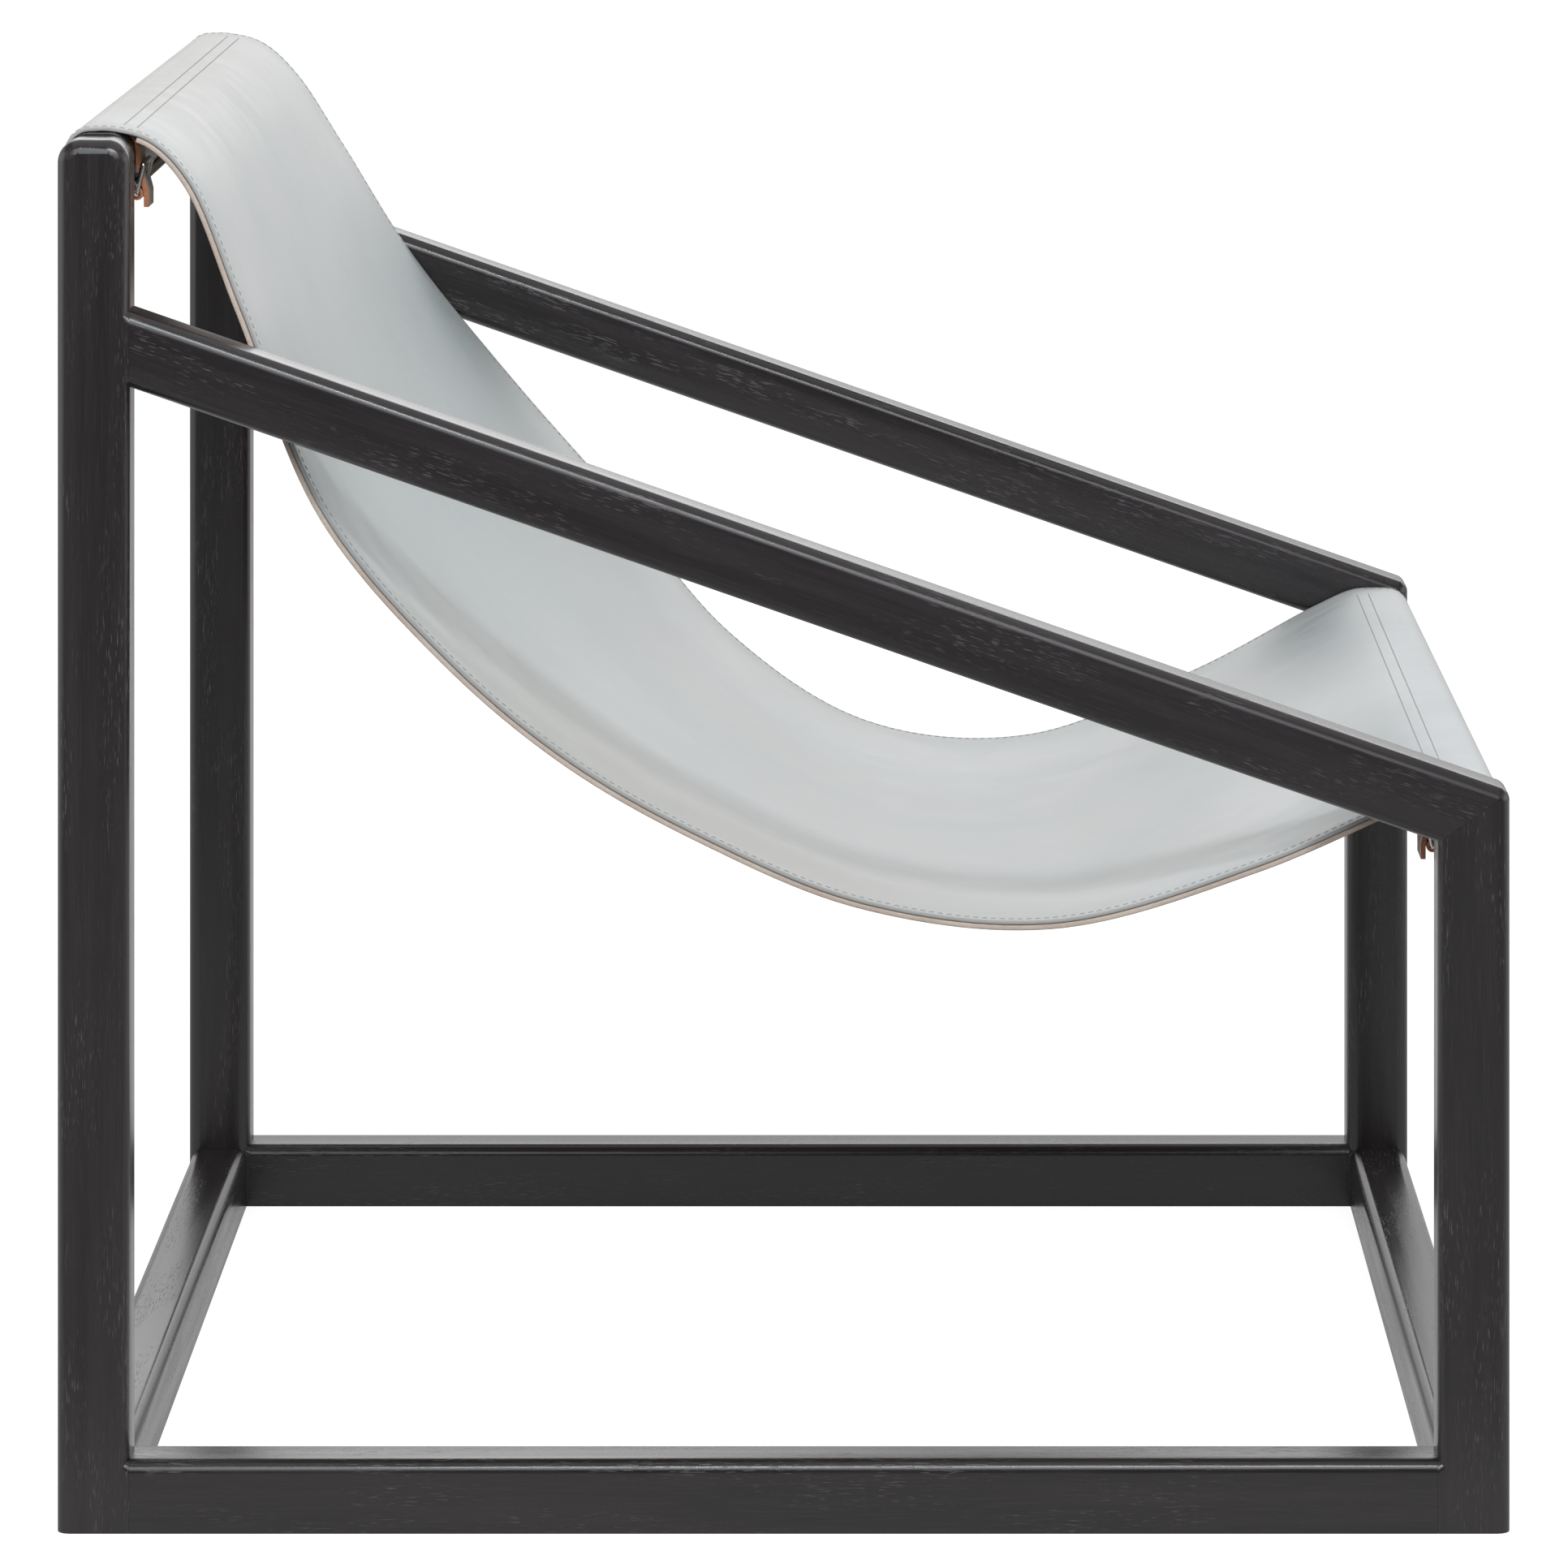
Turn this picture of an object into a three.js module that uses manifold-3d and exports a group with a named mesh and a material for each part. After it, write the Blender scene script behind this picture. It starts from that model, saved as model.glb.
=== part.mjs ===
// Sling lounge chair: two ebonised side frames joined by four cross members, and one leather sling, lined
// where it hangs, that wraps the two upper cross members and buckles to itself on their inner sides.
// Millimetres. The chair faces -Y, +Z is up, x = 0 is the middle plane and z = 0 the floor.
// Right and left are the sitter's, so right is -X.
import * as THREE from 'three';
import { mergeVertices } from 'three/addons/utils/BufferGeometryUtils.js';
import Module from 'manifold-3d';

const wasm = await Module();
wasm.setup();

// Overall sizes
const WIDTH = 760;
const DEPTH = 760;
const BACK_HEIGHT = 728;

// Frame members
const MEMBER = 38; // breadth seen from the side
const THICKNESS = 35.5; // thickness across the chair
const ROUND = 7; // routed edge radius
const ROUND_STEPS = 4;
const CORNER_STEPS = 3;
const FRAME_CORNER_STEPS = 6; // of a side frame's outline
const CORNER_SPARE = 0.5; // how much softer an outer corner is than a routed edge
const POST_TOP_ROUND = 12; // corners of a rear post's top, seen from the side
const JOINT = 0.1; // glue line between two members of a side frame
const ARM_REAR = 598.3; // underside of the armrest at the rear post
const ARM_FRONT = 360.6; // underside of the armrest at the front post
const STRETCHER_WIDE = 34;
const STRETCHER_HIGH = 36;
const SLING_RAIL = 33;
const SLING_RAIL_ROUND = 11;
const FIT = 0.3; // clearance wherever two pieces meet

// Loose tenons
const TENON_THICK = 8;
const TENON_REACH = 20;
const RAIL_TENON_WIDE = 24;
const ARM_TENON_WIDE = 18;
const MITRE_TENON_WIDE = 18;
const MITRE_TENON_REACH = 16;
const STRETCHER_TENON_WIDE = 20;
const SLING_RAIL_TENON_WIDE = 14;
const CROSS_TENON_REACH = 25; // into the cross member
const CROSS_TENON_WALL = 1; // between the cross tenons and the side frame's own tenons

// Sling
const FACE = 2.2; // face leather
const LINING = 2.7; // lining leather, under the face between the rails
const LINING_INSET = 1.5; // its ends, from the wraps' inner faces
const SLING_EDGE_ROOM = 1.5; // from the sling's edge to the posts
const SLING_PROUD = 3.6; // rear wrap above the posts' tops
const FRONT_WRAP_DROP = 1.6; // front wrap below the armrests' front corners
const WRAP_END = THREE.MathUtils.degToRad(-34); // where the wrap stops on the lower inner corner
const HANG_STEPS = 52;
const WRAP_CORNER_STEPS = 4;
const ACROSS_STEPS = 5;
const SAG = 220; // of the sling below the straight line between its rails
const TROUGH = 7; // the sling's middle below its edges
const TROUGH_START = 0.3; // share of the half width where the rise to an edge begins
const TROUGH_REAR = [0.15, 0.4]; // shares of the hang over which the trough sets in behind the rear rail
const TROUGH_FRONT = [0.6, 0.85]; // and over which it ends before the front rail
// The hang of the sling's two edges: share of the way from rear to front rail, and share of the sag. The
// right edge sags further back, the left edge further forward.
const HANG = [
  { share: 0.03, right: -0.0201, left: -0.0219 },
  { share: 0.06, right: 0.0321, left: 0.018 },
  { share: 0.1, right: 0.2825, left: 0.1511 },
  { share: 0.16, right: 0.6691, left: 0.3668 },
  { share: 0.25, right: 0.8743, left: 0.5875 },
  { share: 0.34, right: 0.9768, left: 0.7773 },
  { share: 0.44, right: 1.004, left: 1.006 },
  { share: 0.56, right: 0.9735, left: 1.067 },
  { share: 0.7, right: 0.7995, left: 0.8867 },
  { share: 0.85, right: 0.429, left: 0.4622 },
  { share: 0.95, right: 0.1324, left: 0.1333 },
  { share: 0.985, right: 0.0282, left: 0.0282 },
];

// Straps and buckles
const STRAPS = 4; // on each sling rail
const STRAP_INSET = 30; // from the sling's edge to the middle of the first strap
const STRAP = 2.6; // thickness
const STRAP_WIDE = 26;
const STRAP_SKIVE = 0.8; // pared thickness of the sewn end
const STRAP_SKIVE_SHARE = 0.25; // share of the strap's length that is pared
const STRAP_STEPS = 22;
const STRAP_TURN = [50, 36, 18, 0]; // degrees round the rail's upper inner corner, from the sewn end
const HEEL_TURN = [1, 0.4, -0.2, -0.8]; // shares of the strap's slant, where it lies on the heel bar's loop
const STRAP_TAIL = 7; // hangs below the heel bar
const BAND = 1.6; // leather of the buckle band
const BAND_END = THREE.MathUtils.degToRad(-100);
const BAND_STEPS = 4;
const LOOP_STEPS = 6;
const HEEL_ANGLE = THREE.MathUtils.degToRad(-45); // place of the heel bar on the wrap's lower inner corner
const BUCKLE_BAR = 2.8;
const BUCKLE_CHAMFER = 0.8;
const BUCKLE_PITCH = 17; // between the heel bar and the tip bar
const BUCKLE_LEAN = THREE.MathUtils.degToRad(13);
const BUCKLE_CORNER = 3;
const BUCKLE_STEPS = 2;
const BUCKLE_SIDE_ROOM = 1; // between strap and buckle, each side
const PRONG_WIDE = 2.8;
const PRONG_THICK = 1.6;
const PRONG_OVERHANG = 1; // past the tip bar
const EYE_STEPS = 5;
const PRONG_SIDE_ROOM = 0.6; // in the band's notch and the strap's slot, each side
const SLOT_CLEAR = 0.6; // from the prong's eye to the end of the strap's slot
const SLOT_SHORT = 6; // the slot stops this far short of the tip bar

// Worked out from the sizes above
const postInner = DEPTH / 2 - MEMBER;
const sideMiddle = WIDTH / 2 - THICKNESS / 2;
const sideInner = WIDTH / 2 - THICKNESS;
const armSlope = (ARM_REAR - ARM_FRONT) / (2 * postInner);
const armUnder = (y) => ARM_FRONT + (y + postInner) * armSlope;
const armTop = (y) => armUnder(y) + MEMBER * Math.hypot(1, armSlope);
const slingWidth = 2 * (sideInner - SLING_EDGE_ROOM);
const cover = FIT + FACE; // leather and its gap on one side of a sling rail
const wrap = SLING_RAIL + 2 * cover;
const wrapRound = SLING_RAIL_ROUND + cover;
const rearRail = { y: DEPTH / 2, inward: -1, top: BACK_HEIGHT + SLING_PROUD };
const frontRail = { y: -DEPTH / 2, inward: 1, top: armTop(-DEPTH / 2) - FRONT_WRAP_DROP };

const materials = {
  wood: { color: 0x1c1b1d, roughness: 0.5, metalness: 0 },
  tenon: { color: 0x8a6a48, roughness: 0.8, metalness: 0 },
  face: { color: 0xb9c0c0, roughness: 0.6, metalness: 0 },
  lining: { color: 0xa08a78, roughness: 0.8, metalness: 0 },
  strap: { color: 0x9aa09e, roughness: 0.6, metalness: 0 },
  metal: { color: 0xc9cacb, roughness: 0.25, metalness: 1 },
};

const chair = new THREE.Group();

function addMesh(parent, name, geometry, material) {
  const mesh = new THREE.Mesh(geometry, new THREE.MeshStandardMaterial(materials[material]));
  mesh.name = name;
  parent.add(mesh);
}

// Closed geometry to solid and back, for joins and cuts
function solidOf(geometry) {
  const bare = geometry.clone();
  bare.deleteAttribute('normal');
  bare.deleteAttribute('uv');
  const merged = mergeVertices(bare);
  const vertProperties = new Float32Array(merged.attributes.position.array);
  const triVerts = new Uint32Array(merged.index.array);
  return new wasm.Manifold(new wasm.Mesh({ numProp: 3, vertProperties, triVerts }));
}

function geometryOf(solid) {
  const mesh = solid.getMesh();
  const geometry = new THREE.BufferGeometry();
  geometry.setAttribute('position', new THREE.BufferAttribute(mesh.vertProperties, 3));
  geometry.setIndex(new THREE.BufferAttribute(mesh.triVerts, 1));
  geometry.computeVertexNormals();
  return geometry;
}

// A closed outline of corners [a, b, radius]
function outline(corners) {
  const shape = new THREE.Shape();
  corners.forEach(([a, b, radius], index) => {
    if (!radius) {
      if (index) shape.lineTo(a, b);
      else shape.moveTo(a, b);
      return;
    }
    const corner = new THREE.Vector2(a, b);
    const [beforeA, beforeB] = corners.at(index - 1);
    const [afterA, afterB] = corners[(index + 1) % corners.length];
    const toBefore = new THREE.Vector2(beforeA, beforeB).sub(corner).normalize();
    const toAfter = new THREE.Vector2(afterA, afterB).sub(corner).normalize();
    const half = toBefore.angleTo(toAfter) / 2;
    const bisector = toBefore.clone().add(toAfter).normalize();
    const centre = bisector.multiplyScalar(radius / Math.sin(half)).add(corner);
    const reach = radius / Math.tan(half);
    const start = toBefore.clone().multiplyScalar(reach).add(corner).sub(centre);
    const end = toAfter.clone().multiplyScalar(reach).add(corner).sub(centre);
    shape.absarc(centre.x, centre.y, radius, start.angle(), end.angle(), toAfter.cross(toBefore) < 0);
  });
  return shape;
}

// Drawn in the side view (drawing x along Y, drawing y along Z) and extruded along X from start to end
const sideView = new THREE.Matrix4().makeBasis(
  new THREE.Vector3(0, 1, 0),
  new THREE.Vector3(0, 0, 1),
  new THREE.Vector3(1, 0, 0),
);

function extrudeAcross(shape, start, end, { round = 0, roundSteps = 1, curveSegments = CORNER_STEPS } = {}) {
  const geometry = new THREE.ExtrudeGeometry(shape, {
    depth: end - start - 2 * round,
    bevelEnabled: round > 0,
    bevelThickness: round,
    bevelSize: round,
    bevelOffset: -round,
    bevelSegments: roundSteps,
    curveSegments,
  });
  return geometry.translate(0, 0, start + round).applyMatrix4(sideView);
}

function blockAcross(corners, start, end) {
  return solidOf(extrudeAcross(outline(corners.map(([a, b]) => [a, b, 0])), start, end));
}

// Loose tenons: stadium section, the axis crosses the joint. The same drawing, grown by the fit, cuts the
// mortise.
const alongX = new THREE.Vector3(1, 0, 0);
const alongY = new THREE.Vector3(0, 1, 0);
const alongZ = new THREE.Vector3(0, 0, 1);

function tenonGeometry({ centre, axis, wide, length, width }, grow) {
  const halfWide = width / 2 + grow;
  const radius = TENON_THICK / 2 + grow;
  const shape = new THREE.Shape();
  shape.absarc(halfWide - radius, 0, radius, -Math.PI / 2, Math.PI / 2, false);
  shape.absarc(radius - halfWide, 0, radius, Math.PI / 2, Math.PI * 1.5, false);
  const depth = length + 2 * grow;
  const straight = { depth, bevelEnabled: false, curveSegments: CORNER_STEPS };
  const geometry = new THREE.ExtrudeGeometry(shape, straight);
  const place = new THREE.Matrix4().makeBasis(wide, axis.clone().cross(wide), axis).setPosition(centre);
  return geometry.translate(0, 0, -depth / 2).applyMatrix4(place);
}

const mitreInner = new THREE.Vector3(0, -postInner, armUnder(-postInner));
const mitreOuter = new THREE.Vector3(0, -DEPTH / 2, armTop(-DEPTH / 2));
const mitreAlong = mitreOuter.clone().sub(mitreInner).normalize();
const mitreAcross = mitreAlong.clone().cross(alongX);
const crossPostReach = (THICKNESS - TENON_THICK) / 2 - CROSS_TENON_WALL;

// Sections and centre lines of the four cross members; the stretchers' lower edges are left square
const stretcher = {
  z: STRETCHER_HIGH / 2,
  wide: STRETCHER_WIDE,
  high: STRETCHER_HIGH,
  topRound: ROUND,
  lowRound: 0,
  tenonWide: STRETCHER_TENON_WIDE,
};
const slingRail = ({ y, inward, top }) => ({
  y: y + inward * wrap / 2,
  z: top - wrap / 2,
  wide: SLING_RAIL,
  high: SLING_RAIL,
  topRound: SLING_RAIL_ROUND,
  lowRound: SLING_RAIL_ROUND,
  tenonWide: SLING_RAIL_TENON_WIDE,
});
const crossMembers = [
  { ...stretcher, name: 'rear_stretcher', y: DEPTH / 2 - MEMBER / 2 },
  { ...stretcher, name: 'front_stretcher', y: MEMBER / 2 - DEPTH / 2 },
  { ...slingRail(rearRail), name: 'rear_sling_rail' },
  { ...slingRail(frontRail), name: 'front_sling_rail' },
];

function sideTenons(name, side) {
  const x = side * sideMiddle;
  const armTenonDrop = armSlope * TENON_REACH / 2;
  const armMiddle = (armUnder(postInner) + armTop(postInner)) / 2 - armTenonDrop;
  const mitreMiddle = mitreInner.clone().add(mitreOuter).divideScalar(2).setX(x);
  const through = { axis: alongY, wide: alongZ, length: 2 * TENON_REACH };
  const railTenon = { ...through, width: RAIL_TENON_WIDE };
  const frameTenons = [
    { ...railTenon, name: `${name}_rail_rear_tenon`, centre: new THREE.Vector3(x, postInner, MEMBER / 2) },
    { ...railTenon, name: `${name}_rail_front_tenon`, centre: new THREE.Vector3(x, -postInner, MEMBER / 2) },
    {
      ...through,
      name: `${name}_armrest_rear_tenon`,
      centre: new THREE.Vector3(x, postInner, armMiddle),
      width: ARM_TENON_WIDE,
    },
    {
      name: `${name}_armrest_mitre_tenon`,
      centre: mitreMiddle,
      axis: mitreAcross,
      wide: mitreAlong,
      length: 2 * MITRE_TENON_REACH,
      width: MITRE_TENON_WIDE,
    },
  ];
  const crossMiddle = sideInner + (crossPostReach - CROSS_TENON_REACH) / 2;
  const crossTenons = crossMembers.map((member) => ({
    name: `${member.name}_${name}_tenon`,
    centre: new THREE.Vector3(side * crossMiddle, member.y, member.z),
    axis: alongX,
    wide: alongZ,
    length: crossPostReach + CROSS_TENON_REACH,
    width: member.tenonWide,
  }));
  return [...frameTenons, ...crossTenons];
}

const sides = [
  { name: 'right', side: -1 },
  { name: 'left', side: 1 },
];
const tenons = sides.flatMap(({ name, side }) => sideTenons(name, side));
const mortises = tenons
  .map((tenon) => solidOf(tenonGeometry(tenon, FIT)))
  .reduce((all, mortise) => all.add(mortise));

// Side frame: one outline, routed all round, then parted at its joints
function sideFrame(side) {
  const soft = ROUND + CORNER_SPARE;
  const shape = outline([
    [-DEPTH / 2, -ROUND, 0],
    [DEPTH / 2, -ROUND, 0],
    [DEPTH / 2, BACK_HEIGHT, POST_TOP_ROUND],
    [postInner, BACK_HEIGHT, POST_TOP_ROUND],
    [postInner, armTop(postInner), 0],
    [-DEPTH / 2, armTop(-DEPTH / 2), soft],
  ]);
  shape.holes.push(outline([
    [postInner, MEMBER, 0],
    [postInner, armUnder(postInner), 0],
    [-postInner, armUnder(-postInner), 0],
    [-postInner, MEMBER, 0],
  ]));
  const start = side * sideMiddle - THICKNESS / 2;
  const routed = { round: ROUND, roundSteps: ROUND_STEPS, curveSegments: FRAME_CORNER_STEPS };
  const whole = solidOf(extrudeAcross(shape, start, start + THICKNESS, routed));
  const belowFloor = blockAcross(
    [[-DEPTH, -2 * ROUND], [DEPTH, -2 * ROUND], [DEPTH, 0], [-DEPTH, 0]],
    start - THICKNESS,
    start + 2 * THICKNESS,
  );
  return whole.subtract(belowFloor);
}

// The members of a side frame are what is left of it between the joint lines
function addSideMembers(name, side, frame) {
  const start = side * sideMiddle - THICKNESS;
  const end = start + 2 * THICKNESS;
  const low = -MEMBER;
  const high = BACK_HEIGHT + MEMBER;
  const window = (MEMBER + ARM_FRONT) / 2; // a height inside the frame's opening
  const outside = DEPTH / 2 + MEMBER;
  const kerfMiddle = postInner - JOINT / 2;
  const jointRear = postInner - JOINT;
  const jointFront = JOINT - postInner;
  const beyond = mitreAlong.clone().multiplyScalar(2 * MEMBER);
  const gap = mitreAcross.clone().multiplyScalar(JOINT / 2);
  const mitreStart = mitreInner.clone().sub(beyond);
  const mitreEnd = mitreOuter.clone().add(beyond);
  const above = [mitreEnd, mitreStart].map((point) => point.clone().add(gap)).map(({ y, z }) => [y, z]);
  const below = [mitreStart, mitreEnd].map((point) => point.clone().sub(gap)).map(({ y, z }) => [y, z]);
  const regions = {
    rear_post: [[kerfMiddle, low], [outside, low], [outside, high], [kerfMiddle, high]],
    side_rail: [[jointFront, low], [jointRear, low], [jointRear, window], [jointFront, window]],
    armrest: [[mitreStart.y, window], [jointRear, window], [jointRear, high], [above[0][0], high], ...above],
    front_post: [[-outside, low], [-kerfMiddle, low], [-kerfMiddle, window], ...below],
  };
  const kerfs = [
    [[jointRear, low], [postInner, low], [postInner, high], [jointRear, high]],
    [[-postInner, low], [jointFront, low], [jointFront, window], [-postInner, window]],
  ];
  const parted = kerfs.reduce(
    (rest, corners) => rest.subtract(blockAcross(corners, start, end)),
    frame.subtract(mortises),
  );
  for (const [member, corners] of Object.entries(regions)) {
    const region = blockAcross(corners, start, end);
    addMesh(chair, `${name}_${member}`, geometryOf(parted.intersect(region)), 'wood');
  }
}

const frames = sides.map(({ side }) => sideFrame(side));
sides.forEach(({ name, side }, index) => addSideMembers(name, side, frames[index]));

// Cross members run into the posts' routed edges and are scribed to them
for (const { name, y, z, wide, high, topRound, lowRound } of crossMembers) {
  const shape = outline([
    [y - wide / 2, z - high / 2, lowRound],
    [y + wide / 2, z - high / 2, lowRound],
    [y + wide / 2, z + high / 2, topRound],
    [y - wide / 2, z + high / 2, topRound],
  ]);
  const bar = solidOf(extrudeAcross(shape, -sideInner - ROUND, sideInner + ROUND));
  const scribed = sides.reduce(
    (rest, { side }, index) => rest.subtract(frames[index].translate([-side * FIT, 0, 0])),
    bar,
  );
  addMesh(chair, name, geometryOf(scribed.subtract(mortises)), 'wood');
}

for (const tenon of tenons) {
  addMesh(chair, tenon.name, tenonGeometry(tenon, 0), 'tenon');
}

// Places round a sling rail are given by (p, h): inward from the wrap's outer face, and up from its top.
const atRail = (rail, p, h) => new THREE.Vector3(0, rail.y + rail.inward * p, rail.top + h);
const around = (centre, radius, angle) => ({
  p: centre.p + radius * Math.cos(angle),
  h: centre.h + radius * Math.sin(angle),
});
const lowerInner = { p: wrap - wrapRound, h: wrapRound - wrap };
const lowerOuter = { p: wrapRound, h: wrapRound - wrap };
const upperOuter = { p: wrapRound, h: -wrapRound };
const upperInner = { p: wrap - wrapRound, h: -wrapRound };

// The outer side of a wrap, from its end on the lower inner corner to the start of its flat top
function wrapPath(rail) {
  const turns = [
    { centre: lowerInner, from: WRAP_END, to: -Math.PI / 2 },
    { centre: lowerOuter, from: -Math.PI / 2, to: -Math.PI },
    { centre: upperOuter, from: -Math.PI, to: -Math.PI * 1.5 },
  ];
  return turns.flatMap(({ centre, from, to }) => {
    const places = [];
    for (let step = 0; step <= WRAP_CORNER_STEPS; step++) {
      const angle = from + (to - from) * step / WRAP_CORNER_STEPS;
      const { p, h } = around(centre, wrapRound, angle);
      const normal = new THREE.Vector3(0, rail.inward * Math.cos(angle), Math.sin(angle));
      places.push({ point: atRail(rail, p, h), normal });
    }
    return places;
  });
}

// One edge of the sling between the flat tops of the two wraps
function hangCurve(edge) {
  const leave = atRail(rearRail, upperInner.p, 0);
  const arrive = atRail(frontRail, upperInner.p, 0);
  const hung = (row) => leave.clone().lerp(arrive, row.share).addScaledVector(alongZ, -SAG * row[edge]);
  const flats = [atRail(rearRail, upperOuter.p, 0), atRail(frontRail, upperOuter.p, 0)];
  return new THREE.CatmullRomCurve3([flats[0], leave, ...HANG.map(hung), arrive, flats[1]]);
}

// Side-view path of the sling's outer side at a share of the way from its right edge to its left edge
const hangs = { right: hangCurve('right'), left: hangCurve('left') };
const rearWrap = wrapPath(rearRail);
const frontWrap = wrapPath(frontRail).reverse();

function slingPath(across) {
  const { smoothstep } = THREE.MathUtils;
  const dip = TROUGH * (1 - smoothstep(Math.abs(2 * across - 1), TROUGH_START, 1));
  const hang = [];
  for (let step = 1; step < HANG_STEPS; step++) {
    const hung = step / HANG_STEPS;
    const share = (1 - Math.cos(Math.PI * hung)) / 2;
    const depth = dip * smoothstep(hung, ...TROUGH_REAR) * (1 - smoothstep(hung, ...TROUGH_FRONT));
    const point = hangs.right.getPointAt(share).lerp(hangs.left.getPointAt(share), across);
    const along = hangs.right.getTangentAt(share).lerp(hangs.left.getTangentAt(share), across);
    const normal = new THREE.Vector3(0, along.z, -along.y).normalize();
    hang.push({ point: point.addScaledVector(normal, -depth), normal });
  }
  return [...rearWrap, ...hang, ...frontWrap];
}

// Rows of the sling that hang clear of the rails
const hangsClear = slingPath(0).map(({ point }) => {
  const inwards = [rearRail, frontRail].map(({ y, inward }) => inward * (point.y - y));
  return Math.min(...inwards) > wrap - LINING_INSET;
});

// A layer of the sling lies between two depths under its outer side
function slingLayer(upper, lower, holdsRow = () => true) {
  const columns = [];
  for (let column = 0; column <= ACROSS_STEPS; column++) {
    const across = column / ACROSS_STEPS;
    const path = slingPath(across).filter(holdsRow);
    const x = (across - 0.5) * slingWidth;
    const sunk = ({ point, normal }, depth) => point.clone().addScaledVector(normal, -depth).setX(x);
    const atDepth = (depth) => path.map((place) => sunk(place, depth));
    columns.push({ outer: atDepth(upper), inner: atDepth(lower) });
  }
  const rings = columns[0].outer.map((point, row) => [
    ...columns.map(({ outer }) => outer[row]),
    ...columns.map(({ inner }) => inner[row]).reverse(),
  ]);
  return closedLoft(rings);
}

// Rings of equal count joined into one closed skin, with flat ends. A ring goes out along one side of the
// sheet and back along the other, and both sides are split along the same diagonals, so that layers nest.
function closedLoft(rings) {
  const count = rings[0].length;
  const faces = [];
  const quad = (a, b, c, d) => faces.push(a, b, c, a, c, d);
  for (let row = 0; row + 1 < rings.length; row++) {
    for (let place = 0; place < count; place++) {
      const next = (place + 1) % count;
      const [here, ahead] = [row * count, (row + 1) * count];
      if (place < count / 2) quad(here + place, ahead + place, ahead + next, here + next);
      else quad(ahead + place, ahead + next, here + next, here + place);
    }
  }
  const last = (rings.length - 1) * count;
  for (let place = 0; place + 1 < count / 2; place++) {
    const opposite = count - 1 - place;
    quad(place, place + 1, opposite - 1, opposite);
    quad(last + place, last + opposite, last + opposite - 1, last + place + 1);
  }
  const geometry = new THREE.BufferGeometry().setFromPoints(rings.flat());
  geometry.setIndex(faces);
  geometry.computeVertexNormals();
  return geometry;
}

addMesh(chair, 'sling_face', slingLayer(0, FACE), 'face');
const lined = (place, row) => hangsClear[row];
addMesh(chair, 'sling_lining', slingLayer(FACE + FIT, FACE + FIT + LINING, lined), 'lining');

// Buckles: the heel bar lies in the band's loops on the wrap's lower inner corner. In a buckle's own frame,
// out points away from the rail and up points from the heel bar to the tip bar.
const barReach = Math.hypot(BUCKLE_BAR / 2, BUCKLE_BAR / 2 - BUCKLE_CHAMFER);
const loopInner = barReach + FIT;
const loopOuter = loopInner + BAND;
const eyeOuter = loopInner + PRONG_THICK;
const bandInner = wrapRound + FIT;
const heel = around(lowerInner, bandInner + loopOuter, HEEL_ANGLE);
const atBuckle = (out, up) => ({
  p: heel.p + out * Math.cos(BUCKLE_LEAN) + up * Math.sin(BUCKLE_LEAN),
  h: heel.h - out * Math.sin(BUCKLE_LEAN) + up * Math.cos(BUCKLE_LEAN),
});
const prongTip = BUCKLE_PITCH + BUCKLE_BAR / 2 + PRONG_OVERHANG;

function circleAt(radius, centre = { p: 0, h: 0 }) {
  return new THREE.Shape().absarc(centre.p, centre.h, radius, 0, 2 * Math.PI, false);
}

function buckleFrameGeometry() {
  const half = STRAP_WIDE / 2 + BUCKLE_SIDE_ROOM;
  const outer = half + BUCKLE_BAR;
  const bar = BUCKLE_BAR / 2;
  const shape = outline([
    [-outer, -bar, BUCKLE_CORNER],
    [outer, -bar, BUCKLE_CORNER],
    [outer, BUCKLE_PITCH + bar, BUCKLE_CORNER],
    [-outer, BUCKLE_PITCH + bar, BUCKLE_CORNER],
  ]);
  shape.holes.push(outline([
    [-half, bar, 0],
    [-half, BUCKLE_PITCH - bar, 0],
    [half, BUCKLE_PITCH - bar, 0],
    [half, bar, 0],
  ]));
  const geometry = new THREE.ExtrudeGeometry(shape, {
    depth: BUCKLE_BAR - 2 * BUCKLE_CHAMFER,
    bevelThickness: BUCKLE_CHAMFER,
    bevelSize: BUCKLE_CHAMFER,
    bevelOffset: -BUCKLE_CHAMFER,
    bevelSegments: 1,
    curveSegments: BUCKLE_STEPS,
  });
  return geometry.translate(0, 0, BUCKLE_CHAMFER - BUCKLE_BAR / 2);
}

// The prong's eye turns on the heel bar; its shank passes the strap's slot and rests outside the tip bar
function prongGeometry() {
  const shape = new THREE.Shape();
  shape.moveTo(eyeOuter, 0);
  shape.lineTo(eyeOuter, prongTip - PRONG_THICK);
  shape.quadraticCurveTo(eyeOuter, prongTip, loopInner, prongTip);
  shape.absarc(0, 0, eyeOuter, Math.acos(loopInner / eyeOuter), 2 * Math.PI, false);
  shape.holes.push(circleAt(loopInner));
  return extrudeAcross(shape, -PRONG_WIDE / 2, PRONG_WIDE / 2, { curveSegments: EYE_STEPS });
}

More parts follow.
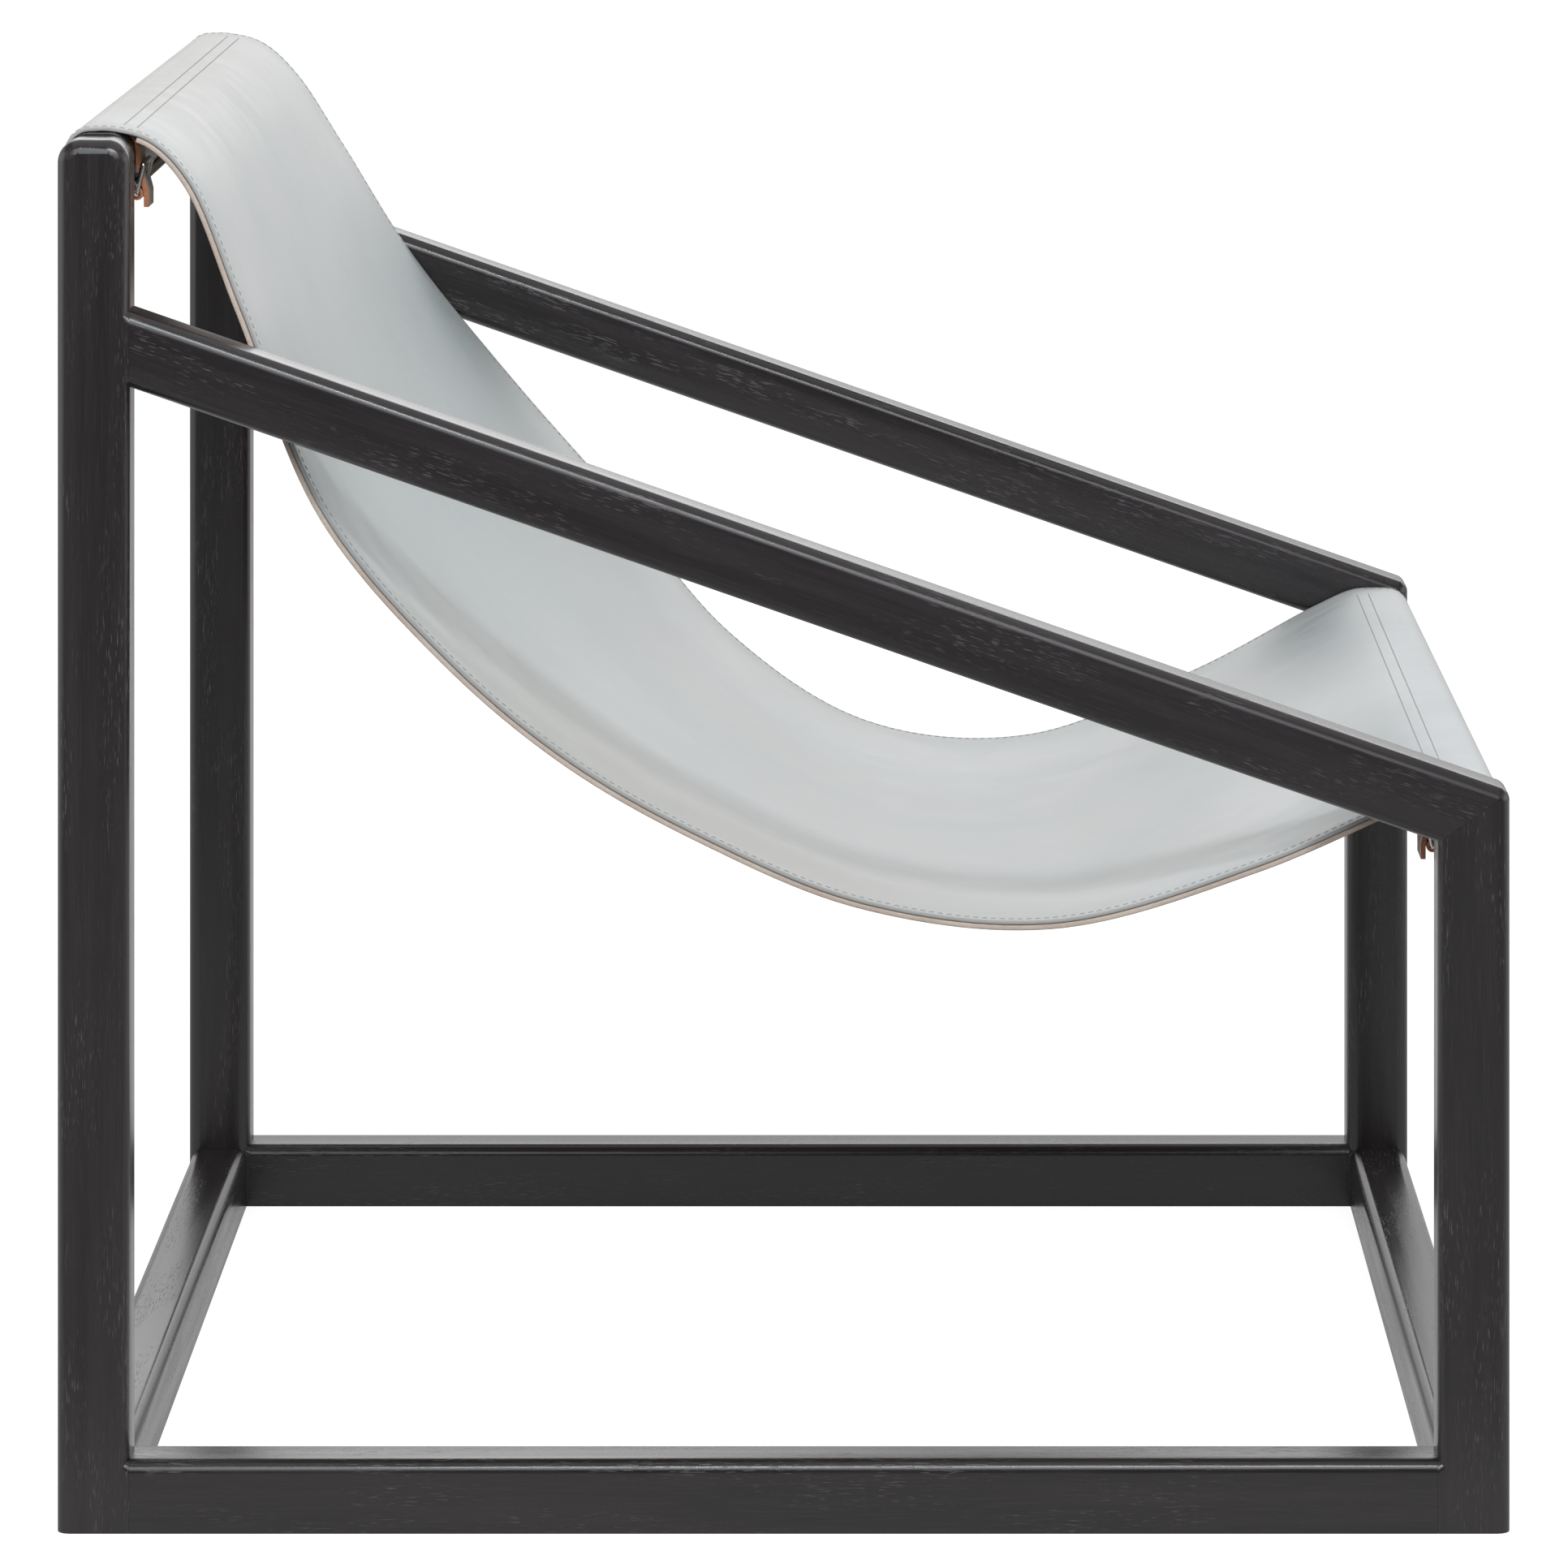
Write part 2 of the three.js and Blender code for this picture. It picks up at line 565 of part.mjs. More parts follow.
// Strap: skived and sewn under the sling at the rail's upper inner corner, down the rail's inner side,
// behind the tip bar, over the heel bar's loop, and its tail hangs below the wrap
function strapGeometry() {
  const railSide = SLING_RAIL_ROUND + FIT;
  const tipSide = barReach + FIT + STRAP;
  const heelSide = loopOuter + FIT;
  const slant = Math.asin((tipSide + heelSide) / BUCKLE_PITCH) - BUCKLE_LEAN;
  const corner = STRAP_TURN.map((angle) => around(upperInner, railSide, THREE.MathUtils.degToRad(angle)));
  const behindTip = around(atBuckle(0, BUCKLE_PITCH), -tipSide, slant);
  const over = HEEL_TURN.map((share) => around(heel, heelSide, share * slant));
  const between = { p: (behindTip.p + over[0].p) / 2, h: (behindTip.h + over[0].h) / 2 };
  const tail = { p: over.at(-1).p, h: heel.h - STRAP_TAIL };
  const points = [...corner, behindTip, between, ...over, tail];
  const curve = new THREE.CatmullRomCurve3(points.map(({ p, h }) => new THREE.Vector3(p, h, 0)));
  const inner = [];
  const outer = [];
  for (let step = 0; step <= STRAP_STEPS; step++) {
    const share = step / STRAP_STEPS;
    const point = curve.getPointAt(share);
    const along = curve.getTangentAt(share);
    const grown = THREE.MathUtils.smoothstep(share, 0, STRAP_SKIVE_SHARE);
    const thick = THREE.MathUtils.lerp(STRAP_SKIVE, STRAP, grown);
    inner.push(new THREE.Vector2(point.x, point.y));
    outer.push(new THREE.Vector2(point.x - along.y * thick, point.y + along.x * thick));
  }
  const shape = new THREE.Shape([...inner, ...outer.reverse()]);
  const blank = solidOf(extrudeAcross(shape, -STRAP_WIDE / 2, STRAP_WIDE / 2));
  const slotHalf = PRONG_WIDE / 2 + PRONG_SIDE_ROOM;
  const slotEnds = [-eyeOuter - SLOT_CLEAR, BUCKLE_PITCH - SLOT_SHORT];
  const slotSides = [0, heelSide + 2 * STRAP];
  const slot = [[0, 0], [1, 0], [1, 1], [0, 1]].map(([out, up]) => atBuckle(slotSides[out], slotEnds[up]));
  const cut = blockAcross(slot.map(({ p, h }) => [p, h]), -slotHalf, slotHalf);
  return geometryOf(blank.subtract(cut));
}

// Band: a strip sewn round the wrap's lower inner corner, with a loop for each buckle's heel bar, notched
// for the prong
function bandGeometry(places) {
  const strip = new THREE.Shape();
  strip.absarc(lowerInner.p, lowerInner.h, bandInner + BAND, BAND_END, HEEL_ANGLE, false);
  strip.absarc(lowerInner.p, lowerInner.h, bandInner, HEEL_ANGLE, BAND_END, true);
  const loop = circleAt(loopOuter, heel);
  loop.holes.push(circleAt(loopInner, heel));
  const loopHalf = STRAP_WIDE / 2;
  const notchHalf = PRONG_WIDE / 2 + PRONG_SIDE_ROOM;
  const full = solidOf(extrudeAcross(strip, -slingWidth / 2, slingWidth / 2, { curveSegments: BAND_STEPS }));
  const boreHalf = loopHalf + FIT;
  const bore = extrudeAcross(circleAt(loopInner, heel), -boreHalf, boreHalf, { curveSegments: LOOP_STEPS });
  const clear = circleAt(eyeOuter + FIT, heel);
  const notch = extrudeAcross(clear, -notchHalf, notchHalf, { curveSegments: LOOP_STEPS });
  const ring = extrudeAcross(loop, -loopHalf, loopHalf, { curveSegments: LOOP_STEPS });
  const band = places.reduce((rest, x) => {
    const at = [x, 0, 0];
    const looped = rest.subtract(solidOf(bore).translate(at)).add(solidOf(ring).translate(at));
    return looped.subtract(solidOf(notch).translate(at));
  }, full);
  return geometryOf(band);
}

// A rail's closures, drawn with p along Y and h along Z and turned to face the chair's inside
function addClosures(name, rail) {
  const group = new THREE.Group();
  group.position.set(0, rail.y, rail.top);
  group.rotation.z = rail.inward > 0 ? 0 : Math.PI;
  chair.add(group);
  const places = [];
  for (let strap = 0; strap < STRAPS; strap++) {
    places.push((slingWidth - 2 * STRAP_INSET) * (strap / (STRAPS - 1) - 0.5));
  }
  addMesh(group, `${name}_buckle_band`, bandGeometry(places), 'strap');
  places.forEach((x, index) => {
    const closure = new THREE.Group();
    closure.position.x = x;
    group.add(closure);
    addMesh(closure, `${name}_strap_${index + 1}`, strapGeometry(), 'strap');
    const frame = new THREE.Group();
    frame.position.set(0, heel.p, heel.h);
    frame.rotation.x = Math.PI / 2 - BUCKLE_LEAN;
    closure.add(frame);
    addMesh(frame, `${name}_buckle_frame_${index + 1}`, buckleFrameGeometry(), 'metal');
    const prong = new THREE.Group();
    prong.position.set(0, heel.p, heel.h);
    prong.rotation.x = -BUCKLE_LEAN;
    closure.add(prong);
    addMesh(prong, `${name}_buckle_prong_${index + 1}`, prongGeometry(), 'metal');
  });
}

addClosures('rear', rearRail);
addClosures('front', frontRail);

export default chair;
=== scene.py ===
"""Looks of the sling lounge chair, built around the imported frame.

Metres, in the frame's own axes: the chair faces -Y, +Z is up and right is -X, as the sitter sees it.
"""

import math

import bpy
import numpy as np
from mathutils import Matrix, Vector


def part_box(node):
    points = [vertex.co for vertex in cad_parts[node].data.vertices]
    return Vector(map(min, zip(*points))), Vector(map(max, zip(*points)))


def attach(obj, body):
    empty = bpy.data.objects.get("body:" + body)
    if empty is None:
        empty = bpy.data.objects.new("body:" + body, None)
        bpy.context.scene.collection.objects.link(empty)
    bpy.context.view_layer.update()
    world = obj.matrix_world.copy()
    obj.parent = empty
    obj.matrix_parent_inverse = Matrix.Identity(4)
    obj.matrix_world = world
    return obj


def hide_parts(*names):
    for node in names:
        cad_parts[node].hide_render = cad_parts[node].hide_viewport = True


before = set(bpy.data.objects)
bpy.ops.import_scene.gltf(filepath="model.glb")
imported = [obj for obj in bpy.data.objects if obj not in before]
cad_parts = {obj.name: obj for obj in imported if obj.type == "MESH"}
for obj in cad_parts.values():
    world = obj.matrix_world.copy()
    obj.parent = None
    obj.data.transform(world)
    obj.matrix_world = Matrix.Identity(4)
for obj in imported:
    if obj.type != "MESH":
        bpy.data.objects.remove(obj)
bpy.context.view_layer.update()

MAIN_BODY = "chair"
MM = 0.001
LEFT = np.array((1.0, 0, 0))

# Sling
sling_low, sling_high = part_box("sling_face")
half_width = (sling_high.x - sling_low.x) / 2
FACE = 2.2 * MM
LINING = 2.7 * MM  # under the face where the sling hangs clear of the rails
LINING_INSET = 1.5 * MM  # how far its ends reach back past the wraps' inner faces
FIT = 0.3 * MM  # from the face to the rails and to the lining
RAIL_ROUND = 11 * MM
WRAP_END = math.radians(-34)  # on the rail's lower inner rounding
CUT_EDGE_ROUND = 0.7 * MM
HANG_ROWS = 170
CORNER_ROWS = 8
COLUMNS = 72
CURVE_STEPS = 60  # between two points of the hang
SAG = 220 * MM
# Share of the way from rear to front rail, and the right and left edges' shares of the sag
HANG = [
    (0.03, -0.0201, -0.0219),
    (0.06, 0.0321, 0.018),
    (0.1, 0.2825, 0.1511),
    (0.16, 0.6691, 0.3668),
    (0.25, 0.8743, 0.5875),
    (0.34, 0.9768, 0.7773),
    (0.44, 1.004, 1.006),
    (0.56, 0.9735, 1.067),
    (0.7, 0.7995, 0.8867),
    (0.85, 0.429, 0.4622),
    (0.95, 0.1324, 0.1333),
    (0.985, 0.0282, 0.0282),
]
TROUGH = 7 * MM  # the middle hangs this far below the edges
TROUGH_START = 0.3  # share of the half width where the rise to the edge begins
TROUGH_SETS_IN = (0.15, 0.4)  # shares of the hanging rows, from the rear
TROUGH_FADES = (0.6, 0.85)

# Stitching
EDGE_STITCH_INSET = 5.5 * MM
STITCH_PITCH = 4.7 * MM
STITCH_LENGTH = 3.5 * MM
STITCH_RADIUS = 0.3 * MM
STITCH_SLANT = math.radians(14)
STITCH_SIDES = 6
# Along a stitch: share of its length, share of its radius, and rise in radii
STITCH_RINGS = [(-0.5, 0.15, -0.5), (-0.36, 0.85, 0.2), (0, 1, 0.45), (0.36, 0.85, 0.2), (0.5, 0.15, -0.5)]
CROSS_SEAMS = (28 * MM, 35 * MM)  # from the wrap's outer face
CROSS_SEAM_SKEW = 1.3 * MM  # how far a seam's ends lie off square
CROSS_SEAM_INSET = 24 * MM  # from the sling's edge
CROSS_STITCH = 0.7  # size of a cross seam's stitches, as a share of the others

# Shading of the frame's faceted pieces
WELD = 0.01 * MM
WOOD_SHARP = math.radians(35)  # edges that turn further than this stay sharp
STRAP_SHARP = math.radians(40)
METAL_SHARP = math.radians(50)
RAW_SIDE = 0.7  # faces turned this far towards a strap's sides show the cut leather

# Studio, with white as 1
ROOM_DARK = 0.12  # ceiling and near side, as reflections see them
ROOM_FAR = 0.72  # far side
SOFT_LIGHT = 0.34  # from all round, on what isn't a reflection
FLOOR_GREY = (0.32, 0.32, 0.32, 1)
FLOOR_SEEN = 0.92  # glow that makes the floor white to the eye
FLOOR_REFLECTED = 0.46  # and pale in reflections
FLOOR_SIZE = 40
KEY_COLOUR = (0.93, 0.965, 1)

# Photograph
PHOTO_SIZE = 1932  # pixels, square
EYE = Vector((-4.135, -0.0485, 1.05791))
LEVEL_POINT = (1079.7, -605.0)  # pixel that the camera's level axis passes through
FOCAL = 8855.87  # pixels
SENSOR = 36.0  # millimetres


def linear(red, green, blue):
    """A shader's colour from display values of 0 to 255."""
    shares = [value / 255 for value in (red, green, blue)]
    return (*[s / 12.92 if s <= 0.04045 else ((s + 0.055) / 1.055) ** 2.4 for s in shares], 1.0)


# Shader nodes


def set_inputs(tree, node, inputs):
    """Sets a node's inputs to values, or links them to sockets."""
    for key, value in inputs.items():
        if isinstance(value, bpy.types.NodeSocket):
            tree.links.new(value, node.inputs[key])
        else:
            node.inputs[key].default_value = value


def add(tree, kind, inputs, **options):
    """A shader node with its options and inputs set."""
    made = tree.nodes.new("ShaderNode" + kind)
    for key, value in options.items():
        setattr(made, key, value)
    set_inputs(tree, made, inputs)
    return made


def principled(name):
    material = bpy.data.materials.new(name)
    material.use_nodes = True
    return material, material.node_tree, material.node_tree.nodes["Principled BSDF"]


def object_place(tree):
    return add(tree, "TexCoord", {}).outputs["Object"]


def stretched(tree, place, scale):
    return add(tree, "VectorMath", {0: place, 1: scale}, operation="MULTIPLY").outputs[0]


def noise(tree, place, scale=1.0, detail=3.0, roughness=0.5):
    inputs = {"Vector": place, "Scale": scale, "Detail": detail, "Roughness": roughness}
    return add(tree, "TexNoise", inputs).outputs[0]


def streaks(tree, place, along, across, detail, roughness=0.5):
    """Noise whose fineness along the first axis differs from that across it."""
    return noise(tree, stretched(tree, place, (along, across, across)), detail=detail, roughness=roughness)


def spread(tree, value, low, high, to_low=0.0, to_high=1.0):
    """A value mapped smoothly from one range to another, and held at the ends."""
    inputs = {"Value": value, "From Min": low, "From Max": high, "To Min": to_low, "To Max": to_high}
    return add(tree, "MapRange", inputs, interpolation_type="SMOOTHSTEP").outputs[0]


def times(tree, first, second):
    return add(tree, "Math", {0: first, 1: second}, operation="MULTIPLY").outputs[0]


def plus(tree, first, second):
    return add(tree, "Math", {0: first, 1: second}, operation="ADD").outputs[0]


def mixed(tree, share, first, second):
    """A colour between two others. The Mix node's colours are its inputs 6 and 7 and its output 2."""
    return add(tree, "Mix", {0: share, 6: first, 7: second}, data_type="RGBA").outputs[2]


def mixed_value(tree, share, first, second):
    """A value between two others. The Mix node's values are its inputs 2 and 3 and its output 0."""
    return add(tree, "Mix", {0: share, 2: first, 3: second}).outputs[0]


def bump(tree, height, strength, distance):
    inputs = {"Height": height, "Strength": strength, "Distance": distance}
    return add(tree, "Bump", inputs).outputs[0]


# Materials

EBONY = (0.0112, 0.0085, 0.0095, 1)
EBONY_PALE = (0.0206, 0.0164, 0.0178, 1)
FIBRE_STREAK = (0.031, 0.0262, 0.0276, 1)
OPEN_PORE = (0.11, 0.1, 0.1, 1)


def ebonised_wood(name, grain):
    """Black-stained, open-grained wood under a satin finish, with its grain along one direction."""
    material, tree, shader = principled(name)
    across = Vector((0, 1, 0)) if abs(grain.x) > 0.5 else Vector((1, 0, 0))
    turn = Matrix((grain, across, grain.cross(across))).to_euler()
    place = add(tree, "Mapping", {"Vector": object_place(tree), "Rotation": turn}).outputs[0]
    figure = streaks(tree, place, along=4, across=85, detail=4)
    fibres = streaks(tree, place, along=30, across=900, detail=3)
    pores = spread(tree, streaks(tree, place, along=110, across=1700, detail=1), 0.6, 0.7)
    clusters = spread(tree, streaks(tree, place, along=10, across=60, detail=2), 0.45, 0.66)
    flecks = times(tree, pores, clusters)
    stain = mixed(tree, spread(tree, figure, 0.3, 0.7), EBONY, EBONY_PALE)
    streaked = mixed(tree, spread(tree, fibres, 0.45, 0.75, 0.0, 0.5), stain, FIBRE_STREAK)
    satin = spread(tree, figure, 0.3, 0.7, 0.21, 0.29)
    height = plus(tree, times(tree, fibres, 0.35), times(tree, flecks, -0.8))
    set_inputs(tree, shader, {
        "Base Color": mixed(tree, times(tree, flecks, 0.7), streaked, OPEN_PORE),
        "Roughness": plus(tree, satin, times(tree, flecks, 0.2)),
        "Specular IOR Level": 0.6,
        "Normal": bump(tree, height, strength=0.2, distance=0.25 * MM),
    })
    return material


def bare_wood():
    """Unfinished beech of the loose tenons."""
    material, tree, shader = principled("tenon_wood")
    rays = noise(tree, object_place(tree), scale=60, detail=5)
    set_inputs(tree, shader, {
        "Base Color": mixed(tree, rays, linear(196, 160, 120), linear(160, 122, 84)),
        "Roughness": spread(tree, rays, 0.2, 0.8, 0.65, 0.8),
    })
    return material


def leather_grain(tree, place):
    """Height of a fine hide grain: small pebbles with a little scatter."""
    inputs = {"Vector": place, "Scale": 950.0, "Smoothness": 0.6}
    pebbles = add(tree, "TexVoronoi", inputs, feature="SMOOTH_F1").outputs["Distance"]
    scatter = noise(tree, place, scale=420, detail=4)
    return plus(tree, pebbles, times(tree, scatter, 0.8))


# Painted shade and wear on the face leather: place, reach along each axis, share, display colour
ARM_SHADE = (132, 143, 145)
ROLL_SHADE = (140, 150, 152)
TONES = [
    ((-half_width, 0.15, 0.44), (0.25, 0.16, 0.16), 0.4, (168, 165, 157)),  # right edge, low on the back: painted shadow of the right armrest
    ((-0.285, 0.02, 0.38), (0.16, 0.3, 0.3), 0.75, (170, 168, 161)),  # right side of the seat: painted shadow of the right armrest
    ((-0.35, 0.232, 0.557), (0.34, 0.11, 0.11), 0.6, ARM_SHADE),  # beside the right armrest
    ((0.35, 0.232, 0.557), (0.42, 0.12, 0.12), 1.0, ARM_SHADE),  # and the left one
    ((-0.24, -0.322, 0.38), (0.3, 0.055, 0.08), 0.7, ROLL_SHADE),  # inner side of the front roll, right
    ((0.24, -0.322, 0.38), (0.3, 0.055, 0.08), 0.8, ROLL_SHADE),  # and left
    ((0, 0.2, 0.5), (0.6, 0.16, 0.3), 0.95, (170, 178, 178)),  # painted shade on the back, where it faces away from the light
    ((0, -0.05, 0.33), (0.6, 0.35, 0.2), 0.35, (188, 190, 189)),  # sat on
    ((0, 0.37, 0.74), (0.7, 0.1, 0.1), 1.0, (198, 196, 192)),  # handled on the rear rail
    ((0, -0.37, 0.385), (0.7, 0.06, 0.06), 0.8, (192, 195, 197)),  # and on the front rail
]
TONE_LEFT = 0.8  # share of a tone that is left at the height of the mottle
# Along the cut edges: reach from the edge, share, display colour
EDGE_TONES = [(43 * MM, 0.25, (178, 178, 174)), (1.8 * MM, 0.6, (155, 155, 152))]


def soft_spot(tree, place, centre, reach):
    """1 at a place, fading to 0 at a reach that differs along the axes."""
    offset = add(tree, "VectorMath", {0: place, 1: centre}, operation="SUBTRACT").outputs[0]
    shares = stretched(tree, offset, [1 / distance for distance in reach])
    length = add(tree, "VectorMath", {0: shares}, operation="LENGTH").outputs["Value"]
    return spread(tree, length, 0.0, 1.0, 1.0, 0.0)


def face_leather():
    """Pale cool-grey saddle leather: mottled, finely grained, with painted shade and some wear in places,
    darker at its cut edges.
    """
    material, tree, shader = principled("face_leather")
    place = object_place(tree)
    clouds = spread(tree, noise(tree, place, scale=7, detail=5, roughness=0.55), 0.3, 0.7)
    mottle = spread(tree, streaks(tree, place, along=70, across=22, detail=6, roughness=0.65), 0.3, 0.7)
    pale = mixed(tree, mottle, linear(206, 207, 207), linear(210, 210, 210))
    cool = mixed(tree, mottle, linear(199, 202, 202), linear(203, 206, 206))
    colour = mixed(tree, clouds, cool, pale)
    for centre, reach, share, tone in TONES:
        spot = soft_spot(tree, place, centre, reach)
        uneven = spread(tree, mottle, 0.0, 1.0, share, TONE_LEFT * share)
        colour = mixed(tree, times(tree, spot, uneven), colour, linear(*tone))
    side = add(tree, "SeparateXYZ", {0: place}).outputs["X"]
    from_middle = add(tree, "Math", {0: side}, operation="ABSOLUTE").outputs[0]
    for reach, share, tone in EDGE_TONES:
        near_edge = spread(tree, from_middle, half_width - reach, half_width, 0.0, share)
        colour = mixed(tree, near_edge, colour, linear(*tone))
    height = plus(tree, leather_grain(tree, place), times(tree, mottle, 0.3))
    set_inputs(tree, shader, {
        "Base Color": colour,
        "Roughness": spread(tree, mottle, 0.2, 0.8, 0.5, 0.62),
        "Specular IOR Level": 0.35,
        "Normal": bump(tree, height, strength=0.16, distance=0.3 * MM),
    })
    return material


def raw_leather(name, pale, dark):
    """Undyed leather with its fibres open, as on a flesh side or a cut edge."""
    material, tree, shader = principled(name)
    place = object_place(tree)
    fibres = noise(tree, stretched(tree, place, (900, 420, 900)), detail=5, roughness=0.7)
    patches = noise(tree, place, scale=26, detail=4, roughness=0.6)
    share = plus(tree, times(tree, fibres, 0.5), times(tree, patches, 0.6))
    set_inputs(tree, shader, {
        "Base Color": mixed(tree, spread(tree, share, 0.3, 0.8), dark, pale),
        "Roughness": spread(tree, fibres, 0.3, 0.7, 0.75, 0.9),
        "Specular IOR Level": 0.2,
        "Normal": bump(tree, fibres, strength=0.4, distance=0.4 * MM),
    })
    return material


def thread():
    """Waxed thread, a little darker than the leather, with its twist."""
    material, tree, shader = principled("thread")
    twist = noise(tree, object_place(tree), scale=2600, detail=2)
    set_inputs(tree, shader, {
        "Base Color": mixed(tree, twist, linear(134, 137, 136), linear(162, 165, 163)),
        "Roughness": spread(tree, twist, 0.2, 0.8, 0.5, 0.7),
        "Normal": bump(tree, twist, strength=0.4, distance=0.3 * MM),
    })
    return material


def nickel():
    """Plated nickel with faint polishing marks."""
    material, tree, shader = principled("nickel")
    place = object_place(tree)
    marks = streaks(tree, place, along=300, across=2400, detail=3)
    tarnish = spread(tree, noise(tree, place, scale=160, detail=3), 0.4, 0.75)
    set_inputs(tree, shader, {
        "Base Color": mixed(tree, tarnish, linear(214, 212, 208), linear(180, 176, 170)),
        "Metallic": 1.0,
        "Roughness": spread(tree, marks, 0.3, 0.7, 0.16, 0.3),
        "Normal": bump(tree, marks, strength=0.08, distance=0.2 * MM),
    })
    return material


face_grey = face_leather()
lining_tan = raw_leather("lining_leather", linear(216, 202, 190), linear(186, 168, 155))
strap_brown = raw_leather("strap_edge", linear(226, 156, 118), linear(172, 112, 80))
thread_grey = thread()
nickel_plate = nickel()
tenon_beech = bare_wood()


# Meshes


def add_piece(name, points, faces, material):
    """A smooth mesh that rides on the chair."""
    mesh = bpy.data.meshes.new(name)
    mesh.from_pydata([tuple(point) for point in points], [], faces)
    mesh.update()
    mesh.polygons.foreach_set("use_smooth", [True] * len(mesh.polygons))
    mesh.materials.append(material)
    piece = bpy.data.objects.new(name, mesh)
    bpy.context.scene.collection.objects.link(piece)
    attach(piece, MAIN_BODY)
    return piece


def tube_faces(first, rings, count):
    """Faces of a closed tube whose points are numbered ring by ring, from a first one."""
    last = first + (rings - 1) * count
    faces = []
    for here in range(first, last, count):
        ahead = here + count
        for place in range(count):
            after = (place + 1) % count
            faces.append((here + place, ahead + place, ahead + after, here + after))
    faces.append(tuple(range(first, first + count)))
    faces.append(tuple(reversed(range(last, last + count))))
    return faces


def smooth_faceted(piece, sharp_angle):
    """Joins a faceted mesh's split corners and shades it smooth up to an angle."""
    mesh = piece.data
    normals = mesh.attributes.get("custom_normal")
    if normals:
        mesh.attributes.remove(normals)
    mesh.polygons.foreach_set("use_smooth", [True] * len(mesh.polygons))
    weld = piece.modifiers.new("weld", "WELD")
    weld.merge_threshold = WELD
    split = piece.modifiers.new("sharp_edges", "EDGE_SPLIT")
    split.split_angle = sharp_angle
    split.use_edge_sharp = False
    piece.modifiers.new("flat_faces", "WEIGHTED_NORMAL")


# Sling


def smoothstep(low, high, value):
    share = np.clip((value - low) / (high - low), 0, 1)
    return share * share * (3 - 2 * share)


def unit(vectors):
    return vectors / np.linalg.norm(vectors, axis=-1, keepdims=True)


def lengths_along(points):
    return np.concatenate([[0], np.cumsum(np.linalg.norm(np.diff(points, axis=0), axis=1))])


def interpolated(places, known, values):
    """Side-view values at places on a scale where they are known."""
    return np.stack([np.interp(places, known, values[:, axis]) for axis in (0, 1)], -1)


def rail_place(node, inward):
    """Centre and half section of a sling rail, its half core inside the roundings, and the way inwards."""
    low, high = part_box(node)
    half = (high.z - low.z) / 2
    return {
        "centre": np.array(((low.y + high.y) / 2, (low.z + high.z) / 2)),
        "half": half,
        "core": half - RAIL_ROUND,
        "inward": inward,
    }


rear_rail = rail_place("rear_sling_rail", -1)
front_rail = rail_place("front_sling_rail", 1)
cover = FIT + FACE


def at_rail(rail, along, up):
    """A side-view point given from the rail's centre, towards the chair's inside and up."""
    return rail["centre"] + np.array((rail["inward"] * along, up))


def wrap_path(rail):
    """Outer side of a wrap in the side view, from its end below to the flat top: points and normals."""
    core = rail["core"]
    turns = [
        (core, -core, WRAP_END, -math.pi / 2),
        (-core, -core, -math.pi / 2, -math.pi),
        (-core, core, -math.pi, -1.5 * math.pi),
    ]
    points, normals = [], []
    for along, up, start, end in turns:
        for angle in np.linspace(start, end, CORNER_ROWS + 1):
            outward = np.array((math.cos(angle), math.sin(angle)))
            points.append(at_rail(rail, *((along, up) + (RAIL_ROUND + cover) * outward)))
            normals.append(outward * (rail["inward"], 1))
    return np.array(points), np.array(normals)


def centripetal(points, steps):
    """Close points along a centripetal Catmull-Rom curve through the given ones."""
    ends = [2 * points[0] - points[1], *points, 2 * points[-1] - points[-2]]
    shares = np.linspace(0, 1, steps, endpoint=False)[:, None]
    made = []
    for before, start, end, after in zip(ends, ends[1:], ends[2:], ends[3:]):
        gaps = [np.linalg.norm(b - a) ** 0.5 for a, b in ((before, start), (start, end), (end, after))]
        leave = (start - before) / gaps[0] - (end - before) / (gaps[0] + gaps[1]) + (end - start) / gaps[1]
        arrive = (end - start) / gaps[1] - (after - start) / (gaps[1] + gaps[2]) + (after - end) / gaps[2]
        leave, arrive = leave * gaps[1], arrive * gaps[1]
        square = 3 * (end - start) - 2 * leave - arrive
        cube = 2 * (start - end) + leave + arrive
        made.append(start + leave * shares + square * shares**2 + cube * shares**3)
    return np.vstack([*made, points[-1:]])


def hang_path(sags):
    """One edge between the flat tops of the wraps: points and normals at the sling's rows."""
    core, top = rear_rail["core"], rear_rail["half"] + cover
    flat_rear, leave = at_rail(rear_rail, -core, top), at_rail(rear_rail, core, top)
    flat_front, arrive = at_rail(front_rail, -core, top), at_rail(front_rail, core, top)
    shares = [share for share, _, _ in HANG]
    between = [leave + (arrive - leave) * share - (0, sag * SAG) for share, sag in zip(shares, sags)]
    curve = centripetal(np.array([flat_rear, leave, *between, arrive, flat_front]), CURVE_STEPS)
    lengths = lengths_along(curve)
    rows = lengths[-1] * (1 - np.cos(np.pi * np.arange(1, HANG_ROWS) / HANG_ROWS)) / 2
    tangents = interpolated(rows, lengths, np.gradient(curve, axis=0))
    normals = np.stack([tangents[:, 1], -tangents[:, 0]], 1)
    return interpolated(rows, lengths, curve), unit(normals)


rear_wrap = wrap_path(rear_rail)
front_wrap = [values[::-1] for values in wrap_path(front_rail)]
right_hang = hang_path([right for _, right, _ in HANG])
left_hang = hang_path([left for _, _, left in HANG])
right_path, left_path = [
    [np.vstack([rear_wrap[part], hang[part], front_wrap[part]]) for part in (0, 1)]
    for hang in (right_hang, left_hang)
]
rows_in_wrap = len(rear_wrap[0])
whole_sling = np.full(len(right_path[0]), True)


def rows_hanging_clear():
    """Which rows of the sling lie inside both wraps."""
    clear = whole_sling.copy()
    for rail in (rear_rail, front_rail):
        inner_face = at_rail(rail, rail["half"] + cover - LINING_INSET, 0)[0]
        clear &= (right_path[0][:, 0] - inner_face) * rail["inward"] > 0
    return clear


hanging_clear = rows_hanging_clear()


